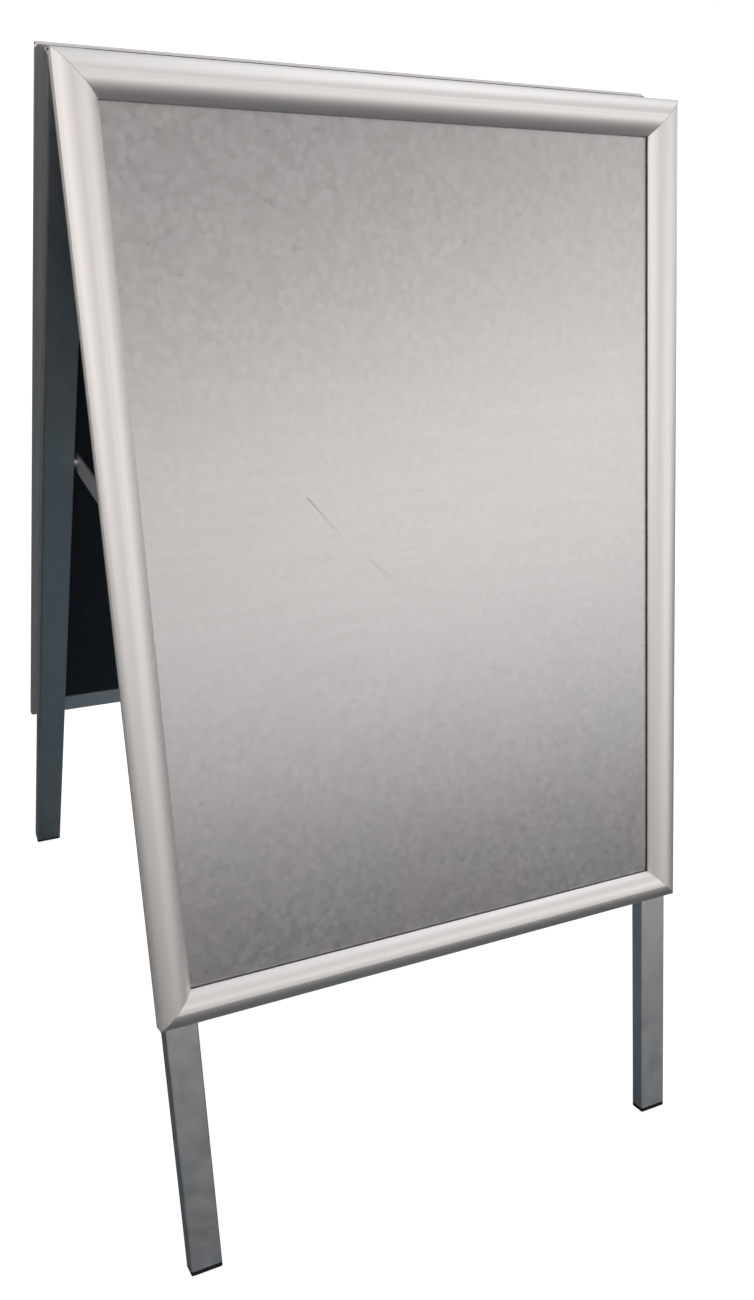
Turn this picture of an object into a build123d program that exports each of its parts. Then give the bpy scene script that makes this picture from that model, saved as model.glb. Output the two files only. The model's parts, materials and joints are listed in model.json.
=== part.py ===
from build123d import *
import math
import os

# Folding sandwich board: two poster frames with snap-open rails, each on a pair of
# rectangular tube legs. The legs are hinged at their tops and held apart by folding stays.
#
# Row frame: origin on the floor under the middle of the board, X across the width,
# the front half towards -Y, Z up.
#
# Frame of one half before it leans: X across, w outwards (w = -Y) from the hinge plane,
# s down (s = -Z) from the hinge line.
#
# Section of a rail: a = distance inwards from the frame's outer edge,
# z = height above the plane of the frame's back.

# ---------------------------------------------------------------- driving dimensions, mm
POSTER_W = 594.0            # A1 sheet
POSTER_H = 841.0
LIP_OVERLAP = 10.0          # cover of the snap rail's lip over the sheet
PROFILE = 37.0              # face width of a rail

HALF_SPLAY = 19.1           # lean of each half from upright, degrees
HINGE_GAP = 5.4             # leg's inner face to the hinge plane
LEG_WIDTH = 35.0
LEG_DEPTH = 20.0
LEG_WALL = 1.5
LEG_CORNER_R = 2.0
LEG_INSET = 7.5             # leg's outer side to the frame's outer edge
LEG_LENGTH = 1191.0         # hinge line to the sole of the foot
LEG_TOP_S = 2.0

# ---------------------------------------------------------------- rail section, mm
FLANGE_T = 1.2
FLANGE_A = 29.0
OUTER_BLOCK_A = 5.6
OUTER_WALL_Z = 4.2
PIVOT_A = 3.2               # axis of the snap rail's bead
PIVOT_Z = 6.2
BEAD_R = 1.7
NECK_T = 1.4
CLAW_IN_R = 1.8
CLAW_OUT_R = 3.2
CLAW_ROOM_R = 3.35          # trough that the claw turns in
CLAW_OUTER_DEG = 135.0
CLAW_INNER_DEG = -60.0
CLAW_TRIM = 9.0             # claw stops this far from the frame's corner
SKIN_T = CLAW_OUT_R - CLAW_IN_R
CROWN_A = 17.0
CROWN_Z = 15.6
LIP_TOP_Z = 5.2
LIP_FOOT_Z = 3.9
LIP_FOOT_A = 34.4
GROOVE_WEB_A = 22.6
GROOVE_WEB_T = 1.2
GROOVE_TOP_Z = 2.8
GROOVE_LIP_T = 0.8
SNAP_MITRE_GAP = 0.15
BASE_MITRE_GAP = 0.05
FRAME_CORNER_R = 4.5

# ---------------------------------------------------------------- sheets, mm
PANEL_EDGE_A = 24.3
PANEL_T = 0.75
COVER_Z = 2.85
COVER_T = 0.4

# ---------------------------------------------------------------- keys and springs, mm
KEY_A = 8.0
KEY_WIDTH = 11.0
KEY_LENGTH = 50.0
KEY_T = 1.6
SPRING_LENGTH = 40.0
SPRING_T = 0.6
SIDE_SPRINGS = (-280.0, 0.0, 280.0)
END_SPRINGS = (-150.0, 150.0)

# ---------------------------------------------------------------- feet, mm
CAP_LIP = 6.0
CAP_PLUG = 18.0
CAP_FIT = 0.2
CAP_WALL = 2.0
CAP_EDGE_R = 1.8

# ---------------------------------------------------------------- hinges, mm
KNUCKLE_R = 5.4
KNUCKLE_W = 9.8
KNUCKLE_GAP = 0.3
KNUCKLE_ROOM = 0.35
PIN_R = 2.5
PIN_HOLE_R = 2.55
PIN_HEAD_R = 4.2
PIN_HEAD_T = 1.4
LEAF_T = 2.0
LEAF_LENGTH = 62.0
LEAF_RIVETS_S = (22.0, 48.0)
FLANGE_END_W = 24.4

# ---------------------------------------------------------------- rivets, mm
RIVET_R = 2.4
RIVET_HEAD_R = 4.2
RIVET_HEAD_H = 1.4
RIVET_TAIL_R = 3.4
RIVET_TAIL_H = 2.4
HOLE_CLEARANCE = 0.05
LEG_RIVETS_S = (110.0, 335.0, 560.0, 785.0)
LEG_RIVET_A = 15.0

# ---------------------------------------------------------------- stays, mm
STAY_S = 441.0              # pivot's distance down the leg
STAY_W = 13.9               # pivot's distance from the hinge plane
STAY_WIDTH = 23.0
STAY_T = 2.5
STAY_PIVOT_R = 3.0
STAY_HEAD_R = 6.0
STAY_HEAD_T = 2.0
STAY_LAYER_GAP = 0.2
REAR_STAY_FROM_LEG = 3.5
SPACER_R = 6.0
SPACER_CLEARANCE = 0.2

# ---------------------------------------------------------------- worked out
FRAME_W = POSTER_W + 2 * (PROFILE - LIP_OVERLAP)
FRAME_H = POSTER_H + 2 * (PROFILE - LIP_OVERLAP)
BACK_W = HINGE_GAP + LEG_DEPTH
LEG_X = FRAME_W / 2 - LEG_INSET - LEG_WIDTH / 2
LEG_INNER_X = LEG_X - LEG_WIDTH / 2
SIN = math.sin(math.radians(HALF_SPLAY))
COS = math.cos(math.radians(HALF_SPLAY))
# The rounded inner edge of the foot is what touches the floor.
HINGE_Z = (LEG_LENGTH - CAP_EDGE_R) * COS - (HINGE_GAP + CAP_EDGE_R) * SIN + CAP_EDGE_R
STAY_LINK = STAY_S * SIN + STAY_W * COS
STAY_Z = HINGE_Z - STAY_S * COS + STAY_W * SIN

HALVES = ("front", "rear")
SIDES = {"left": -1, "right": 1}
OPPOSITE = {"left": "right", "right": "left", "top": "top", "bottom": "bottom"}
RAIL_SPANS = {"bottom": FRAME_W, "right": FRAME_H, "top": FRAME_W, "left": FRAME_H}


# ---------------------------------------------------------------- placing
def lean(shape, half):
    """Lean a part of one half. The rear half is a front half turned round."""
    leaned = Pos(0, 0, HINGE_Z) * Rot(-HALF_SPLAY, 0, 0) * shape
    return leaned if half == "front" else Rot(0, 0, 180) * leaned


def drawn_side(side, half):
    """Side that a part is drawn on: turning the rear half round swaps left and right."""
    return side if half == "front" else OPPOSITE[side]


def from_flat(shape):
    """Stand a part drawn flat (X across, Y up the frame, Z outwards) in its half."""
    return Pos(0, -BACK_W, -FRAME_H / 2) * Rot(90, 0, 0) * shape


def rail_place(side):
    """Where a rail drawn along X with its outer edge at Y = 0 goes in the flat frame."""
    return {
        "bottom": Pos(0, -FRAME_H / 2, 0),
        "right": Pos(FRAME_W / 2, 0, 0) * Rot(0, 0, 90),
        "top": Pos(0, FRAME_H / 2, 0) * Rot(0, 0, 180),
        "left": Pos(-FRAME_W / 2, 0, 0) * Rot(0, 0, 270),
    }[side]


# ---------------------------------------------------------------- rails
def polar(radius, degrees):
    angle = math.radians(degrees)
    return (PIVOT_A + radius * math.cos(angle), PIVOT_Z + radius * math.sin(angle))


def claw_arc(radius, start, end):
    return CenterArc((PIVOT_A, PIVOT_Z), radius, start, end - start)


def arc_to_crown(radius, start, end, centre_z):
    """Arc about a point below the crown, between two values of a."""
    def point(a):
        return (a, centre_z + math.sqrt(radius ** 2 - (a - CROWN_A) ** 2))
    return ThreePointArc(point(start), point((start + end) / 2), point(end))


def snap_section():
    """Snap rail: crowned skin with a C-shaped claw outside and a foot on its inner lip."""
    rise = CROWN_Z - PIVOT_Z
    run = CROWN_A - PIVOT_A
    outer_r = (run ** 2 + rise ** 2 - CLAW_OUT_R ** 2) / (2 * (rise - CLAW_OUT_R))
    outer_z = CROWN_Z - outer_r
    tangent = math.degrees(math.atan2(PIVOT_Z - outer_z, -run))
    # Where the skin's inner face meets the outside of the claw.
    apart = outer_r - CLAW_OUT_R
    cosine = (CLAW_OUT_R ** 2 + apart ** 2 - (outer_r - SKIN_T) ** 2) / (2 * CLAW_OUT_R * apart)
    root = tangent - 180 + math.degrees(math.acos(cosine))
    drop = CROWN_Z - LIP_TOP_Z
    inner_r = ((PROFILE - CROWN_A) ** 2 + drop ** 2) / (2 * drop)
    inner_z = CROWN_Z - inner_r
    foot_top = inner_z + math.sqrt((inner_r - SKIN_T) ** 2 - (LIP_FOOT_A - CROWN_A) ** 2)
    edges = [
        claw_arc(CLAW_OUT_R, CLAW_OUTER_DEG, tangent),
        arc_to_crown(outer_r, polar(CLAW_OUT_R, tangent)[0], CROWN_A, outer_z),
        arc_to_crown(inner_r, CROWN_A, PROFILE, inner_z),
        Polyline((PROFILE, LIP_TOP_Z), (PROFILE, LIP_FOOT_Z),
                 (LIP_FOOT_A, LIP_FOOT_Z), (LIP_FOOT_A, foot_top)),
        arc_to_crown(inner_r - SKIN_T, LIP_FOOT_A, CROWN_A, inner_z),
        arc_to_crown(outer_r - SKIN_T, CROWN_A, polar(CLAW_OUT_R, root)[0], outer_z),
        claw_arc(CLAW_OUT_R, root, CLAW_INNER_DEG),
        Line(polar(CLAW_OUT_R, CLAW_INNER_DEG), polar(CLAW_IN_R, CLAW_INNER_DEG)),
        claw_arc(CLAW_IN_R, CLAW_INNER_DEG, CLAW_OUTER_DEG),
        Line(polar(CLAW_IN_R, CLAW_OUTER_DEG), polar(CLAW_OUT_R, CLAW_OUTER_DEG)),
    ]
    return make_face(edges)


def claw_relief():
    """Cut through the claw's inner lower part, which would turn into the next rail."""
    room = CLAW_ROOM_R + 1
    return box_2d(PIVOT_A, PIVOT_Z - room, PIVOT_A + room, PIVOT_Z)


def box_2d(low_a, low_z, high_a, high_z):
    corner = Pos(low_a, low_z)
    return corner * Rectangle(high_a - low_a, high_z - low_z, align=(Align.MIN, Align.MIN))


def base_section():
    """Base rail: back flange, outer wall with the bead, and the panel's groove."""
    pivot = Pos(PIVOT_A, PIVOT_Z)
    block = box_2d(0, 0, OUTER_BLOCK_A, OUTER_WALL_Z) - pivot * Circle(CLAW_ROOM_R)
    neck = box_2d(PIVOT_A - NECK_T / 2, FLANGE_T, PIVOT_A + NECK_T / 2, PIVOT_Z)
    flange = box_2d(0, 0, FLANGE_A, FLANGE_T)
    web = box_2d(GROOVE_WEB_A, 0, GROOVE_WEB_A + GROOVE_WEB_T, GROOVE_TOP_Z)
    lip = box_2d(GROOVE_WEB_A, GROOVE_TOP_Z - GROOVE_LIP_T, FLANGE_A, GROOVE_TOP_Z)
    return flange + block + neck + pivot * Circle(BEAD_R) + web + lip


def mitre_wedge(span, gap):
    """Trapezium prism that cuts both ends of a rail at 45 degrees."""
    outside = -5.0
    inside = PROFILE + 5.0
    half = span / 2 - gap
    outline = Polygon((-half + outside, outside), (half - outside, outside),
                      (half - inside, inside), (-half + inside, inside), align=None)
    return extrude(outline, amount=2 * CROWN_Z, both=True)


def frame_block():
    """Block with the frame's outline, which rounds its outer corners."""
    return extrude(RectangleRounded(FRAME_W, FRAME_H, FRAME_CORNER_R),
                   amount=2 * CROWN_Z, both=True)


def bar(section, length):
    return extrude(Plane.YZ * section, amount=length / 2, both=True)


def make_rail(side, section, gap):
    """Extruded rail, mitred and drawn in the flat frame's middle."""
    span = RAIL_SPANS[side]
    return bar(section, span) & mitre_wedge(span, gap)


def set_rail(side, rail):
    """Put a rail in its place in the half, with the frame's rounded corners."""
    return from_flat((rail_place(side) * rail) & frame_block())


def base_rail(side):
    rail = make_rail(side, base_section(), BASE_MITRE_GAP)
    if side in SIDES:
        for s in LEG_RIVETS_S:
            along = SIDES[side] * (FRAME_H / 2 - s)
            hole = Cylinder(RIVET_R + HOLE_CLEARANCE, 4 * FLANGE_T)
            rail -= Pos(along, LEG_RIVET_A, 0) * hole
    return set_rail(side, rail)


def snap_rail(side):
    rail = make_rail(side, snap_section(), SNAP_MITRE_GAP)
    relief = bar(claw_relief(), CLAW_TRIM)
    for end in (-1, 1):
        rail -= Pos(end * (RAIL_SPANS[side] - CLAW_TRIM) / 2, 0, 0) * relief
    return set_rail(side, rail)


# ---------------------------------------------------------------- inside the frame
def flat_sheet(width, height, thickness, z):
    return from_flat(Pos(0, 0, z + thickness / 2) * Box(width, height, thickness))


def back_panel():
    return flat_sheet(FRAME_W - 2 * PANEL_EDGE_A, FRAME_H - 2 * PANEL_EDGE_A, PANEL_T, FLANGE_T)


def poster_cover():
    return flat_sheet(POSTER_W, POSTER_H, COVER_T, COVER_Z)


def corner_keys():
    """Four flat L-shaped keys that join the base rails."""
    end = KEY_A + KEY_LENGTH
    side = KEY_A + KEY_WIDTH
    outline = Polygon((KEY_A, KEY_A), (end, KEY_A), (end, side),
                      (side, side), (side, end), (KEY_A, end), align=None)
    key = Pos(0, 0, FLANGE_T) * extrude(outline, amount=KEY_T)
    corners = ((-1, -1, 0), (1, -1, 90), (1, 1, 180), (-1, 1, 270))
    return [from_flat(Pos(sx * FRAME_W / 2, sy * FRAME_H / 2, 0) * Rot(0, 0, turn) * key)
            for sx, sy, turn in corners]


def snap_spring():
    """Bent strip of spring steel between a base rail and its snap rail."""
    path = FilletPolyline((20.5, FLANGE_T + SPRING_T / 2), (8.2, FLANGE_T + SPRING_T / 2),
                          (10.2, 12.4), (18.5, 11.2), radius=2.2)
    strip = trace(path, line_width=SPRING_T)
    return bar(strip, SPRING_LENGTH)


def snap_springs():
    springs = []
    for side in RAIL_SPANS:
        places = SIDE_SPRINGS if side in SIDES else END_SPRINGS
        for along in places:
            springs.append(from_flat(rail_place(side) * Pos(along, 0, 0) * snap_spring()))
    return springs


# ---------------------------------------------------------------- rivets
def rivet(grip):
    """Blind rivet along Z: domed head above Z = 0, shank down to the tail's bulb."""
    bulb = -grip - RIVET_TAIL_H / 2
    outline = [
        Line((0, RIVET_HEAD_H), (0, -grip - RIVET_TAIL_H)),
        ThreePointArc((0, -grip - RIVET_TAIL_H), (RIVET_TAIL_R, bulb), (RIVET_R, -grip)),
        Polyline((RIVET_R, -grip), (RIVET_R, 0), (RIVET_HEAD_R, 0)),
        Spline((RIVET_HEAD_R, 0), (0, RIVET_HEAD_H), tangents=((0, 1), (-1, 0))),
    ]
    return revolve(Plane.XZ * make_face(outline), axis=Axis.Z)


def hinge_rivets():
    """Rivets of both hinge leaves, heads towards the hinge plane."""
    one = Rot(-90, 0, 0) * rivet(LEAF_T + LEG_WALL)
    return [Pos(sign * LEG_X, -(HINGE_GAP - LEAF_T), -s) * one
            for sign in SIDES.values() for s in LEAF_RIVETS_S]


def leg_rivets():
    """Rivets that hold both legs to the side rails, heads inside the rails."""
    one = Rot(90, 0, 0) * rivet(FLANGE_T + LEG_WALL)
    x = FRAME_W / 2 - LEG_RIVET_A
    return [Pos(sign * x, -(BACK_W + FLANGE_T), -s) * one
            for sign in SIDES.values() for s in LEG_RIVETS_S]


# ---------------------------------------------------------------- legs and feet
def across(x, w, s, length, radius):
    """Cylinder along X."""
    return Pos(x, -w, -s) * Rot(0, 90, 0) * Cylinder(radius, length)


def through(x, w, s, length, radius):
    """Cylinder along w."""
    return Pos(x, -w, -s) * Rot(90, 0, 0) * Cylinder(radius, length)


def leg(side):
    """Rectangular tube with its rivet holes."""
    sign = SIDES[side]
    length = LEG_LENGTH - CAP_LIP - LEG_TOP_S
    wall = RectangleRounded(LEG_WIDTH, LEG_DEPTH, LEG_CORNER_R)
    bore = RectangleRounded(LEG_WIDTH - 2 * LEG_WALL, LEG_DEPTH - 2 * LEG_WALL,
                            LEG_CORNER_R - LEG_WALL / 2)
    tube = extrude(wall - bore, amount=-length)
    tube = Pos(sign * LEG_X, -HINGE_GAP - LEG_DEPTH / 2, -LEG_TOP_S) * tube
    hole_r = RIVET_R + HOLE_CLEARANCE
    for s in LEAF_RIVETS_S:
        tube -= through(sign * LEG_X, HINGE_GAP, s, 3 * LEG_WALL, hole_r)
    for s in LEG_RIVETS_S:
        x = sign * (FRAME_W / 2 - LEG_RIVET_A)
        tube -= through(x, BACK_W, s, 3 * LEG_WALL, hole_r)
    tube -= across(sign * LEG_INNER_X, STAY_W, STAY_S, 3 * LEG_WALL,
                   STAY_PIVOT_R + HOLE_CLEARANCE)
    return tube


def foot_cap(side):
    """Plastic cap: a rounded sole under the tube and a hollow finned plug inside it."""
    sole = extrude(RectangleRounded(LEG_WIDTH, LEG_DEPTH, LEG_CORNER_R), amount=CAP_LIP)
    sole = fillet(sole.faces().sort_by(Axis.Z)[0].edges(), CAP_EDGE_R)
    plug_w = LEG_WIDTH - 2 * (LEG_WALL + 2 * CAP_FIT)
    plug_d = LEG_DEPTH - 2 * (LEG_WALL + 2 * CAP_FIT)
    plug = extrude(RectangleRounded(plug_w, plug_d, 1), amount=CAP_PLUG)
    hollow = extrude(RectangleRounded(plug_w - 2 * CAP_WALL, plug_d - 2 * CAP_WALL, 1),
                     amount=CAP_PLUG)
    fin = extrude(RectangleRounded(plug_w + 2 * CAP_FIT, plug_d + 2 * CAP_FIT, 1), amount=1.0)
    cap = sole + Pos(0, 0, CAP_LIP) * plug
    for height in (4.0, 9.0, 14.0):
        cap += Pos(0, 0, CAP_LIP + height) * fin
    cap -= Pos(0, 0, CAP_LIP) * hollow
    return Pos(SIDES[side] * LEG_X, -HINGE_GAP - LEG_DEPTH / 2, -LEG_LENGTH) * cap


# ---------------------------------------------------------------- hinges
def knuckle_places(half):
    """Middles of a leaf's own knuckles, from the middle of the hinge."""
    pitch = KNUCKLE_W + KNUCKLE_GAP
    return (-pitch, pitch) if half == "front" else (0.0,)


def hinge_leaf(half, side):
    """Plated leaf on the leg's inner face, folded over the top of the tube."""
    x = SIDES[side] * LEG_X
    width = 3 * KNUCKLE_W + 2 * KNUCKLE_GAP
    plate_w = HINGE_GAP - LEAF_T / 2
    leaf = Pos(x, -plate_w, -LEAF_LENGTH / 2) * Box(width, LEAF_T, LEAF_LENGTH)
    leaf = fillet(leaf.edges().filter_by(Axis.Y).group_by(Axis.Z)[0], 4.0)
    fold_depth = FLANGE_END_W - HINGE_GAP + LEAF_T
    fold_w = FLANGE_END_W - fold_depth / 2
    leaf += Pos(x, -fold_w, -LEG_TOP_S / 2) * Box(width, fold_depth, LEG_TOP_S)
    other = "rear" if half == "front" else "front"
    for place in knuckle_places(other):
        leaf -= across(x + place, 0, 0, KNUCKLE_W + 2 * KNUCKLE_GAP, KNUCKLE_R + KNUCKLE_ROOM)
    for place in knuckle_places(half):
        leaf += across(x + place, 0, 0, KNUCKLE_W, KNUCKLE_R)
    leaf -= across(x, 0, 0, 2 * width, PIN_HOLE_R)
    for s in LEAF_RIVETS_S:
        leaf -= through(x, plate_w, s, 2 * LEAF_T, RIVET_R + HOLE_CLEARANCE)
    return leaf


def hinge_pin(side):
    """Pin with a flat head at each end."""
    x = SIDES[side] * LEG_X
    body = 3 * KNUCKLE_W + 2 * KNUCKLE_GAP + 2 * SPACER_CLEARANCE
    pin = across(x, 0, 0, body, PIN_R)
    for end in (-1, 1):
        pin += across(x + end * (body + PIN_HEAD_T) / 2, 0, 0, PIN_HEAD_T, PIN_HEAD_R)
    return pin


# ---------------------------------------------------------------- stays, in the row frame
def stay_layer(half):
    """Inner and outer |x| of a stay link: the front link lies inside the rear one."""
    outer = LEG_INNER_X - REAR_STAY_FROM_LEG
    if half == "front":
        outer -= STAY_T + STAY_LAYER_GAP
    return outer - STAY_T, outer


def pivot_y(half):
    return -STAY_LINK if half == "front" else STAY_LINK


def x_cylinder(x_from, x_to, y, radius, side):
    """Cylinder along X at the height of the stays, between two values of |x|."""
    middle = SIDES[side] * (x_from + x_to) / 2
    return Pos(middle, y, STAY_Z) * Rot(0, 90, 0) * Cylinder(radius, x_to - x_from)


def stay_link(half, side):
    """Flat link with rounded ends, from its leg to the knuckle in the middle."""
    low, high = stay_layer(half)
    outline = Plane.YZ * SlotCenterToCenter(STAY_LINK, STAY_WIDTH)
    link = extrude(outline, amount=STAY_T / 2, both=True)
    link = Pos(SIDES[side] * (low + high) / 2, pivot_y(half) / 2, STAY_Z) * link
    for y in (0, pivot_y(half)):
        link -= x_cylinder(low - 1, high + 1, y, STAY_PIVOT_R + HOLE_CLEARANCE, side)
    return link


def stay_knuckle(half, side):
    """Half of the knuckle rivet: its head on the link's outside, its shank in the hole."""
    low, high = stay_layer(half)
    if half == "front":
        shank_end = high + STAY_LAYER_GAP / 4
        stub = x_cylinder(low, shank_end, 0, STAY_PIVOT_R, side)
        return stub + x_cylinder(low - STAY_HEAD_T, low, 0, STAY_HEAD_R, side)
    shank_end = low - STAY_LAYER_GAP / 4
    stub = x_cylinder(shank_end, high, 0, STAY_PIVOT_R, side)
    return stub + x_cylinder(high, high + STAY_HEAD_T, 0, STAY_HEAD_R, side)


def stay_spacers(half):
    """Bushes between the links and the legs."""
    high = stay_layer(half)[1]
    bushes = []
    for side in SIDES:
        ends = (high + SPACER_CLEARANCE, LEG_INNER_X)
        bush = x_cylinder(*ends, pivot_y(half), SPACER_R, side)
        bore = x_cylinder(*ends, pivot_y(half), STAY_PIVOT_R + HOLE_CLEARANCE, side)
        bushes.append(bush - bore)
    return bushes


def stay_pivot_rivets(half):
    """Rivets through each link, its bush and the leg's side wall."""
    low = stay_layer(half)[0] - SPACER_CLEARANCE
    tail = LEG_INNER_X + LEG_WALL
    rivets = []
    for side in SIDES:
        y = pivot_y(half)
        shank = x_cylinder(low, tail, y, STAY_PIVOT_R, side)
        head = x_cylinder(low - STAY_HEAD_T, low, y, STAY_HEAD_R, side)
        upset = x_cylinder(tail, tail + STAY_HEAD_T, y, STAY_PIVOT_R + 1.5, side)
        rivets.append(shank + head + upset)
    return rivets


# ---------------------------------------------------------------- the whole board
def half_nodes(half):
    """Every node of one half, by name, in the row frame."""
    nodes = {}

    def add(name, shape):
        nodes[half + "_" + name] = lean(shape, half)

    def add_group(name, shapes):
        nodes[half + "_" + name] = Compound(children=[lean(one, half) for one in shapes])

    add("back_panel", back_panel())
    add("poster_cover", poster_cover())
    add_group("corner_keys", corner_keys())
    add_group("snap_springs", snap_springs())
    for side in RAIL_SPANS:
        drawn = drawn_side(side, half)
        add("base_rail_" + side, base_rail(drawn))
        add("snap_rail_" + side, snap_rail(drawn))
    add_group("leg_rivets", leg_rivets())
    add_group("hinge_rivets", hinge_rivets())
    for side in SIDES:
        drawn = drawn_side(side, half)
        add("leg_" + side, leg(drawn))
        add("foot_cap_" + side, foot_cap(drawn))
        add("hinge_leaf_" + side, hinge_leaf(half, drawn))
        nodes[half + "_stay_" + side] = stay_link(half, side)
        nodes[half + "_stay_knuckle_" + side] = stay_knuckle(half, side)
    nodes[half + "_stay_spacers"] = Compound(children=stay_spacers(half))
    nodes[half + "_stay_pivot_rivets"] = Compound(children=stay_pivot_rivets(half))
    return nodes


def board_nodes():
    nodes = {}
    for half in HALVES:
        nodes.update(half_nodes(half))
    for side in SIDES:
        nodes["hinge_pin_" + side] = lean(hinge_pin(side), "front")
    return nodes


def main():
    os.makedirs("parts", exist_ok=True)
    for name, shape in board_nodes().items():
        export_step(shape, "parts/" + name + ".step")
    print("hinge line height", round(HINGE_Z, 3))
    print("stay pivots at y", round(STAY_LINK, 3), "z", round(STAY_Z, 3))


main()
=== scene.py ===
import json
import math

import bpy
from mathutils import Matrix, Vector

# Looks, light and camera for the folding sandwich board. Units are metres, and everything is in
# the row frame: X across the width, the front half towards -Y, Z up, floor at Z = 0.

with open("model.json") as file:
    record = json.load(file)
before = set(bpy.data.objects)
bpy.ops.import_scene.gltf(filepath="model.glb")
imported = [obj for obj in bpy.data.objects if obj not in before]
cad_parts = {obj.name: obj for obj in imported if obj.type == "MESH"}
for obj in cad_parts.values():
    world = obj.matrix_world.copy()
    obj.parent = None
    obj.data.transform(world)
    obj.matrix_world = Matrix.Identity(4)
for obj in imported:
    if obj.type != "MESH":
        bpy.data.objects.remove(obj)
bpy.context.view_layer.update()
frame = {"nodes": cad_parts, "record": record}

HALF_SPLAY = math.radians(19.1)     # lean of each half from upright

# ---------------------------------------------------------------- node helpers


class Tree:
    """Short way to add and join nodes in one node tree."""

    def __init__(self, tree):
        self.nodes = tree.nodes
        self.links = tree.links

    def add(self, kind, inputs=None, **settings):
        node = self.nodes.new(kind)
        for name, value in settings.items():
            setattr(node, name, value)
        for name, value in (inputs or {}).items():
            self.set(node, name, value)
        return node

    def set(self, node, name, value):
        socket = node.inputs[name]
        if isinstance(value, bpy.types.NodeSocket):
            self.links.new(value, socket)
        else:
            socket.default_value = value

    def math(self, operation, first, second=0.0, clamp=False):
        node = self.add("ShaderNodeMath", {0: first, 1: second}, operation=operation, use_clamp=clamp)
        return node.outputs[0]

    def mix(self, factor, first, second, blend="MIX"):
        node = self.add("ShaderNodeMix", data_type="RGBA", blend_type=blend)
        for index, value in ((0, factor), (6, first), (7, second)):
            if isinstance(value, bpy.types.NodeSocket):
                self.links.new(value, node.inputs[index])
            elif index:
                node.inputs[index].default_value = rgba(value)
            else:
                node.inputs[index].default_value = value
        return node.outputs[2]

    def noise(self, vector, scale, detail=2.0, rough=0.5, distortion=0.0):
        node = self.add("ShaderNodeTexNoise", {
            "Vector": vector, "Scale": scale, "Detail": detail,
            "Roughness": rough, "Distortion": distortion})
        return node.outputs["Fac"]

    def vector(self, operation, first, second):
        return self.add("ShaderNodeVectorMath", {0: first, 1: second}, operation=operation).outputs

    def scaled(self, vector, scale):
        return self.vector("MULTIPLY", vector, scale)[0]


def rgba(colour):
    if isinstance(colour, (int, float)):
        return (colour, colour, colour, 1.0)
    return (*colour, 1.0)


class Material(Tree):
    """A material with one Principled shader, under the name it is given."""

    def __init__(self, name, colour, metallic, roughness):
        self.material = bpy.data.materials.new(name)
        self.material.use_nodes = True
        super().__init__(self.material.node_tree)
        self.nodes.clear()
        self.output = self.add("ShaderNodeOutputMaterial")
        self.shader = self.add("ShaderNodeBsdfPrincipled", {
            "Base Color": rgba(colour), "Metallic": metallic, "Roughness": roughness})
        self.links.new(self.shader.outputs[0], self.output.inputs["Surface"])

    def place(self):
        """Position in the row frame."""
        return self.add("ShaderNodeTexCoord").outputs["Object"]

    def leaning(self, half):
        """Position turned so that Z runs up that half's slope and Y is its depth."""
        turn = HALF_SPLAY if half == "front" else -HALF_SPLAY
        node = self.add("ShaderNodeVectorRotate", {
            "Vector": self.place(), "Angle": turn}, rotation_type="X_AXIS")
        return node.outputs[0]

    def inner_face(self, half):
        """1 where the surface faces the inside of the folding board, 0 elsewhere: where the sheets
        get their painted shade.
        """
        normal = self.add("ShaderNodeTexCoord").outputs["Normal"]
        across = self.add("ShaderNodeSeparateXYZ", {0: normal}).outputs["Y"]
        return self.math("GREATER_THAN" if half == "front" else "LESS_THAN", across, 0.0)

    def bump(self, height, distance, strength=1.0, under=None):
        inputs = {"Height": height, "Distance": distance, "Strength": strength}
        if under is not None:
            inputs["Normal"] = under
        return self.add("ShaderNodeBump", inputs).outputs[0]

    def between(self, factor, low, high):
        """A value from low to high, as factor goes from 0 to 1."""
        node = self.add("ShaderNodeMapRange", {
            "Value": factor, "From Min": 0.25, "From Max": 0.75, "To Min": low, "To Max": high})
        return node.outputs[0]


# ---------------------------------------------------------------- materials


def anodised(half, along):
    """Satin silver anodised extrusion, with very faint die lines along the rail."""
    m = Material(f"anodised_{half}_{along}", 0.9, 1.0, 0.49)
    vector = m.leaning(half)
    stretch = (3.0, 1600.0, 1600.0) if along == "x" else (1600.0, 1600.0, 3.0)
    lines = m.noise(m.scaled(vector, stretch), 1.0, 2.0)
    cloud = m.noise(vector, 7.0, 3.0)
    grain = m.noise(vector, 2600.0, 1.0)
    tone = m.mix(cloud, (0.855, 0.845, 0.835), (0.885, 0.875, 0.865))
    m.set(m.shader, "Base Color", m.mix(m.between(lines, 0.0, 0.3), tone, (0.78, 0.77, 0.765)))
    m.set(m.shader, "Roughness", m.between(lines, 0.46, 0.52))
    fine = m.bump(grain, 0.00002, 0.6)
    m.set(m.shader, "Normal", m.bump(lines, 0.00002, 0.4, fine))
    return m.material


# Light scratches on each sheet, in its own plane: start, end (across, up the slope) and width.
SCRATCHES = {
    "front": (((-0.122, 0.681), (-0.085, 0.637), 0.0022), ((-0.059, 0.615), (-0.021, 0.580), 0.0012)),
    "rear": (((0.140, 0.860), (0.171, 0.842), 0.0014), ((-0.180, 0.420), (-0.149, 0.377), 0.0018)),
}


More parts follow.
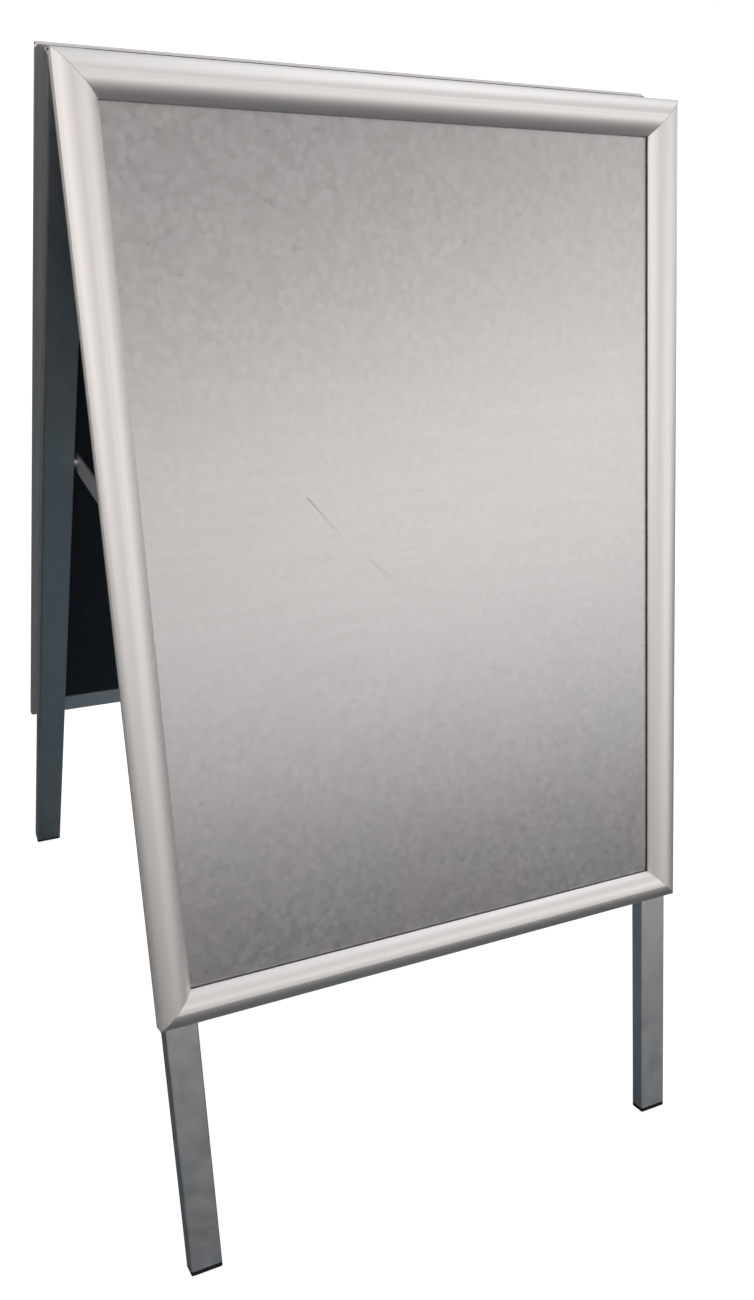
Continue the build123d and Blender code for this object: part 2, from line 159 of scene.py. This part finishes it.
def scratch(m, vector, start, end, width):
    """1 in the middle of a thin mark that tapers from start to end, 0 away from it."""
    first = Vector((start[0], 0.0, start[1]))
    run = Vector((end[0], 0.0, end[1])) - first
    flat = m.scaled(vector, (1.0, 0.0, 1.0))
    away = m.vector("SUBTRACT", flat, first)[0]
    along = m.vector("DOT_PRODUCT", away, run / run.length_squared)["Value"]
    along = m.math("ADD", along, 0.0, clamp=True)
    reach = m.add("ShaderNodeVectorMath", {0: run, "Scale": along}, operation="SCALE").outputs[0]
    gap = m.vector("DISTANCE", away, reach)["Value"]
    half_width = m.math("MULTIPLY", m.math("SUBTRACT", 1.15, along), width / 2)
    return m.math("SUBTRACT", 1.0, m.math("DIVIDE", gap, half_width), clamp=True)


def galvanised(half):
    """Zinc-coated sheet: fine spangle, faint lines across the sheet, a few light scratches, and
    painted shade on its faces inside the folding board.
    """
    m = Material(f"galvanised_{half}", 0.6, 1.0, 0.32)
    vector = m.leaning(half)
    blotch = m.noise(vector, 110.0, 4.0, 0.65, 0.3)
    cells = m.add("ShaderNodeTexVoronoi", {"Vector": vector, "Scale": 150.0, "Smoothness": 0.6},
                  feature="SMOOTH_F1").outputs["Color"]
    spangle = m.math("MULTIPLY", m.math("ADD", blotch, cells), 0.5)
    cloud = m.noise(vector, 8.0, 3.0)
    lines = m.noise(m.scaled(vector, (9.0, 700.0, 900.0)), 1.0, 3.0, 0.6)
    tone = m.mix(m.between(cloud, 0.0, 1.0), (0.525, 0.52, 0.512), (0.552, 0.524, 0.516))
    tone = m.mix(m.between(spangle, 0.0, 1.0), m.scaled(tone, (0.89, 0.89, 0.89)),
                 m.scaled(tone, (1.11, 1.11, 1.11)))
    tone = m.mix(m.between(lines, 0.0, 0.35), tone, (0.48, 0.47, 0.46))
    rough = m.math("ADD", m.between(spangle, 0.28, 0.36), m.between(lines, -0.02, 0.03))
    for start, end, width in SCRATCHES[half]:
        mark = scratch(m, vector, start, end, width)
        tone = m.mix(m.math("MULTIPLY", mark, 0.7), tone, (0.30, 0.28, 0.27))
        rough = m.math("ADD", rough, m.math("MULTIPLY", mark, 0.15))
    # Painted shade: the sheet's faces inside the folding board are darkened to a cool near-black and
    # made rougher, in place of the shade that falls there.
    inside = m.inner_face(half)
    tone = m.mix(inside, tone, m.scaled(tone, (0.12, 0.135, 0.16)))
    m.set(m.shader, "Base Color", tone)
    m.set(m.shader, "Roughness", m.math("ADD", rough, m.math("MULTIPLY", inside, 0.2)))
    m.set(m.shader, "Normal", m.bump(lines, 0.00002, 0.5))
    return m.material


COVER_MIRROR = 0.039                # share of light the clear plastic mirrors when seen squarely
COVER_GLOSS = 0.24                  # roughness of that mirroring, for an anti-glare sheet


def clear_cover():
    """Thin clear anti-glare sheet: see-through, mirroring more the more it is seen aslant.

    The mirror share is the same on the way into the sheet and on the way out.
    """
    m = Material("clear_cover", 1.0, 0.0, 0.06)
    aslant = m.add("ShaderNodeLayerWeight", {"Blend": 0.5}).outputs["Facing"]
    rise = m.math("MULTIPLY", m.math("POWER", aslant, 5.0), 1.0 - COVER_MIRROR)
    fresnel = m.math("ADD", rise, COVER_MIRROR)
    clear = m.add("ShaderNodeBsdfTransparent", {"Color": (0.97, 0.975, 0.98, 1.0)}).outputs[0]
    gloss = m.add("ShaderNodeBsdfGlossy", {"Color": (1.0, 1.0, 1.0, 1.0), "Roughness": COVER_GLOSS})
    mixed = m.add("ShaderNodeMixShader", {0: fresnel, 1: clear, 2: gloss.outputs[0]})
    m.nodes.remove(m.shader)
    m.links.new(mixed.outputs[0], m.output.inputs["Surface"])
    return m.material


def leg_metal(half):
    """Satin silver-grey tube, with faint drawing lines down its length."""
    m = Material(f"leg_metal_{half}", 0.5, 1.0, 0.42)
    vector = m.leaning(half)
    streak = m.noise(m.scaled(vector, (420.0, 420.0, 2.5)), 1.0, 3.0, 0.6)
    cloud = m.noise(vector, 60.0, 4.0, 0.65)
    tone = m.mix(m.between(cloud, 0.0, 1.0), (0.56, 0.58, 0.605), (0.64, 0.66, 0.68))
    m.set(m.shader, "Base Color", m.mix(m.between(streak, 0.0, 0.5), tone, (0.55, 0.565, 0.58)))
    m.set(m.shader, "Roughness", m.between(cloud, 0.36, 0.46))
    m.set(m.shader, "Normal", m.bump(streak, 0.00004, 0.5))
    return m.material


def black_plastic():
    """Moulded black plastic with a fine spark-eroded grain, scuffed here and there."""
    m = Material("black_plastic", 0.01, 0.0, 0.5)
    m.set(m.shader, "Specular IOR Level", 0.25)
    vector = m.place()
    scuff = m.noise(vector, 120.0, 5.0, 0.7)
    grain = m.noise(vector, 1800.0, 2.0)
    m.set(m.shader, "Base Color", m.mix(m.between(scuff, 0.0, 1.0), (0.006, 0.006, 0.007),
                                        (0.016, 0.016, 0.017)))
    m.set(m.shader, "Roughness", m.between(scuff, 0.42, 0.62))
    m.set(m.shader, "Normal", m.bump(grain, 0.00008, 0.5))
    return m.material


def worn_metal(name, light, dark, low_rough, high_rough, scale=90.0):
    """Plated or bare steel: blotchy tone and roughness with a fine rolled grain."""
    m = Material(name, light, 1.0, low_rough)
    vector = m.place()
    blotch = m.noise(vector, scale, 4.0, 0.6, 0.3)
    grain = m.noise(m.scaled(vector, (1.0, 1.0, 0.05)), 1500.0, 2.0)
    m.set(m.shader, "Base Color", m.mix(m.between(blotch, 0.0, 1.0), light, dark))
    m.set(m.shader, "Roughness", m.between(blotch, low_rough, high_rough))
    m.set(m.shader, "Normal", m.bump(grain, 0.00003, 0.4))
    return m.material


def dress(node, material):
    """Give a CAD node its material."""
    piece = frame["nodes"][node]
    piece.data.materials.clear()
    piece.data.materials.append(material)


def dress_all():
    cover = clear_cover()
    plastic = black_plastic()
    plated = worn_metal("zinc_plate", (0.72, 0.73, 0.75), (0.60, 0.61, 0.62), 0.24, 0.36)
    stay = worn_metal("stay_steel", (0.86, 0.89, 0.91), (0.76, 0.80, 0.82), 0.40, 0.52)
    spring = worn_metal("spring_steel", (0.36, 0.37, 0.40), (0.28, 0.29, 0.31), 0.28, 0.40)
    key = worn_metal("key_steel", (0.58, 0.59, 0.60), (0.48, 0.49, 0.50), 0.32, 0.44)
    rivet = worn_metal("rivet_aluminium", (0.78, 0.78, 0.79), (0.68, 0.68, 0.69), 0.28, 0.38)
    common = {
        "clear_sheet": cover, "black_plastic": plastic, "plated_steel": plated,
        "stay_steel": stay, "spring_steel": spring, "key_steel": key, "rivet_aluminium": rivet,
    }
    rails = {(half, along): anodised(half, along) for half in ("front", "rear") for along in "xz"}
    panels = {half: galvanised(half) for half in ("front", "rear")}
    tubes = {half: leg_metal(half) for half in ("front", "rear")}
    for part in frame["record"]["subparts"]:
        node = part["node"]
        slot = part["material_slot"]
        half = node.split("_")[0]
        if slot == "anodised_aluminium":
            along = "x" if node.endswith(("top", "bottom")) else "z"
            dress(node, rails[half, along])
        elif slot == "galvanised_steel":
            dress(node, panels[half])
        elif slot == "leg_aluminium":
            dress(node, tubes[half])
        else:
            dress(node, common[slot])


# ---------------------------------------------------------------- room, light and camera

FLOOR_HALF = 40.0

CAMERA_PLACE = (-0.5514, -1.1409, 1.1859)
CAMERA_YAW = math.radians(29.28)       # to the right of straight ahead
CAMERA_PITCH = math.radians(-31.01)
CAMERA_ROLL = math.radians(6.44)
CAMERA_LENS = 32.26
CAMERA_SHIFT = (-0.0154, 0.0495)

# The studio's soft lights, each a smooth patch of the surroundings: azimuth from the front (-Y)
# towards +X, elevation, half-widths along both, all in degrees, then strength and colour.
COOL = (0.96, 0.98, 1.0)
WARM = (1.0, 0.955, 0.925)
ROSY = (1.0, 0.84, 0.81)
NEUTRAL = (1.0, 1.0, 1.0)
SOFT_LIGHTS = {
    "window": (32, 14, 42, 9, 1.80, WARM),
    "above_window": (58, 27, 32, 10, 0.75, WARM),
    "below_window": (30, 0, 50, 8, 1.00, NEUTRAL),
    "left_window": (-60, 14, 38, 9, 1.20, WARM),
    "left_high": (-60, 26, 38, 10, 1.90, WARM),
    "front_ceiling": (-15, 40, 38, 13, 0.64, ROSY),
    "right_ceiling": (90, 62, 75, 14, 2.20, NEUTRAL),
    "back_right": (120, 3, 38, 8, 1.15, NEUTRAL),
    "back": (165, 3, 38, 8, 1.05, COOL),
    "back_window": (190, 22, 48, 12, 1.70, WARM),
    "left_low": (-66, 4, 26, 8, 0.60, NEUTRAL),
}
AMBIENT = (0.014, 0.015, 0.016)

# The floor as it is seen directly: its tone, and the light it gives off by itself.
FLOOR_PALE = 0.42
FLOOR_GLOW = 0.86

# The floor as the object's surfaces see it: dark behind, lighter far to the front and the right, and
# a cool pool of light under the board.
FLOOR_DARK = 0.05
FLOOR_LIGHT = 0.22
FLOOR_RAMP = (0.8, 2.2)                # how far to the front it starts and stops turning light
FLOOR_SIDEWAYS = 0.35                  # how much a step to the right counts as a step to the front
FLOOR_POOL = (0.21, 0.31, 0.37)
FLOOR_POOL_SIZE = 0.45


def pale_floor():
    """Pale where it is seen directly, and darker for light that reaches the object."""
    m = Material("pale_floor", FLOOR_PALE, 0.0, 0.9)
    place = m.place()
    split = m.add("ShaderNodeSeparateXYZ", {0: place}).outputs
    front = m.math("SUBTRACT", m.math("MULTIPLY", split["X"], FLOOR_SIDEWAYS), split["Y"])
    grey = m.add("ShaderNodeMapRange", {
        "Value": front, "From Min": FLOOR_RAMP[0], "From Max": FLOOR_RAMP[1],
        "To Min": FLOOR_DARK, "To Max": FLOOR_LIGHT})
    grey.interpolation_type = "SMOOTHSTEP"
    away = m.vector("LENGTH", place, (0.0, 0.0, 0.0))["Value"]
    spread = m.math("MULTIPLY", m.math("MULTIPLY", away, away), -1.0 / FLOOR_POOL_SIZE ** 2)
    shade = m.mix(m.math("EXPONENT", spread), grey.outputs[0], FLOOR_POOL)
    dark = m.add("ShaderNodeBsdfDiffuse", {"Color": shade}).outputs[0]
    seen = m.add("ShaderNodeLightPath").outputs["Is Camera Ray"]
    m.set(m.shader, "Emission Color", rgba(1.0))
    m.set(m.shader, "Emission Strength", FLOOR_GLOW)
    mixed = m.add("ShaderNodeMixShader", {0: seen, 1: dark, 2: m.shader.outputs[0]})
    m.links.new(mixed.outputs[0], m.output.inputs["Surface"])
    return m.material


def make_floor():
    mesh = bpy.data.meshes.new("floor")
    corners = [(-FLOOR_HALF, -FLOOR_HALF, 0), (FLOOR_HALF, -FLOOR_HALF, 0),
               (FLOOR_HALF, FLOOR_HALF, 0), (-FLOOR_HALF, FLOOR_HALF, 0)]
    mesh.from_pydata(corners, [], [(0, 1, 2, 3)])
    mesh.materials.append(pale_floor())
    floor = bpy.data.objects.new("floor", mesh)
    bpy.context.scene.collection.objects.link(floor)


def soft_light(t, azimuth, elevation, light):
    """Brightness of one soft light in a direction."""
    centre_az, centre_el, width_az, width_el, strength, colour = light
    turn = t.math("COSINE", t.math("SUBTRACT", azimuth, math.radians(centre_az)))
    across = t.math("MULTIPLY", t.math("SUBTRACT", turn, 1.0), 2.0 / math.radians(width_az) ** 2)
    rise = t.math("SUBTRACT", elevation, math.radians(centre_el))
    up = t.math("MULTIPLY", t.math("MULTIPLY", rise, rise), -1.0 / math.radians(width_el) ** 2)
    patch = t.math("EXPONENT", t.math("ADD", across, up))
    return t.scaled(patch, [strength * c for c in colour])


def make_world():
    """White to the camera; to the object, a grey room with soft lights."""
    world = bpy.data.worlds.new("studio")
    bpy.context.scene.world = world
    world.use_nodes = True
    t = Tree(world.node_tree)
    t.nodes.clear()
    direction = t.add("ShaderNodeTexCoord").outputs["Generated"]
    split = t.add("ShaderNodeSeparateXYZ", {0: direction}).outputs
    azimuth = t.math("ARCTAN2", split["X"], t.math("MULTIPLY", split["Y"], -1.0))
    elevation = t.math("ARCSINE", split["Z"])
    total = AMBIENT
    for light in SOFT_LIGHTS.values():
        total = t.vector("ADD", soft_light(t, azimuth, elevation, light), total)[0]
    room = t.add("ShaderNodeBackground", {"Color": total, "Strength": 1.0})
    white = t.add("ShaderNodeBackground", {"Color": (1.0, 1.0, 1.0, 1.0), "Strength": 1.0})
    seen = t.add("ShaderNodeLightPath").outputs["Is Camera Ray"]
    mixed = t.add("ShaderNodeMixShader", {0: seen, 1: room.outputs[0], 2: white.outputs[0]})
    t.links.new(mixed.outputs[0], t.add("ShaderNodeOutputWorld").inputs["Surface"])


def make_camera():
    data = bpy.data.cameras.new("camera")
    data.sensor_width = 36.0
    data.lens = CAMERA_LENS
    data.shift_x, data.shift_y = CAMERA_SHIFT
    data.clip_start = 0.05
    data.clip_end = 1.5 * FLOOR_HALF
    camera = bpy.data.objects.new("camera", data)
    turn = (Matrix.Rotation(-CAMERA_YAW, 4, "Z")
            @ Matrix.Rotation(math.pi / 2 + CAMERA_PITCH, 4, "X")
            @ Matrix.Rotation(CAMERA_ROLL, 4, "Z"))
    camera.matrix_world = Matrix.Translation(CAMERA_PLACE) @ turn
    bpy.context.scene.collection.objects.link(camera)
    bpy.context.scene.camera = camera


dress_all()
make_floor()
make_world()
make_camera()
bpy.context.scene.view_settings.view_transform = "Standard"
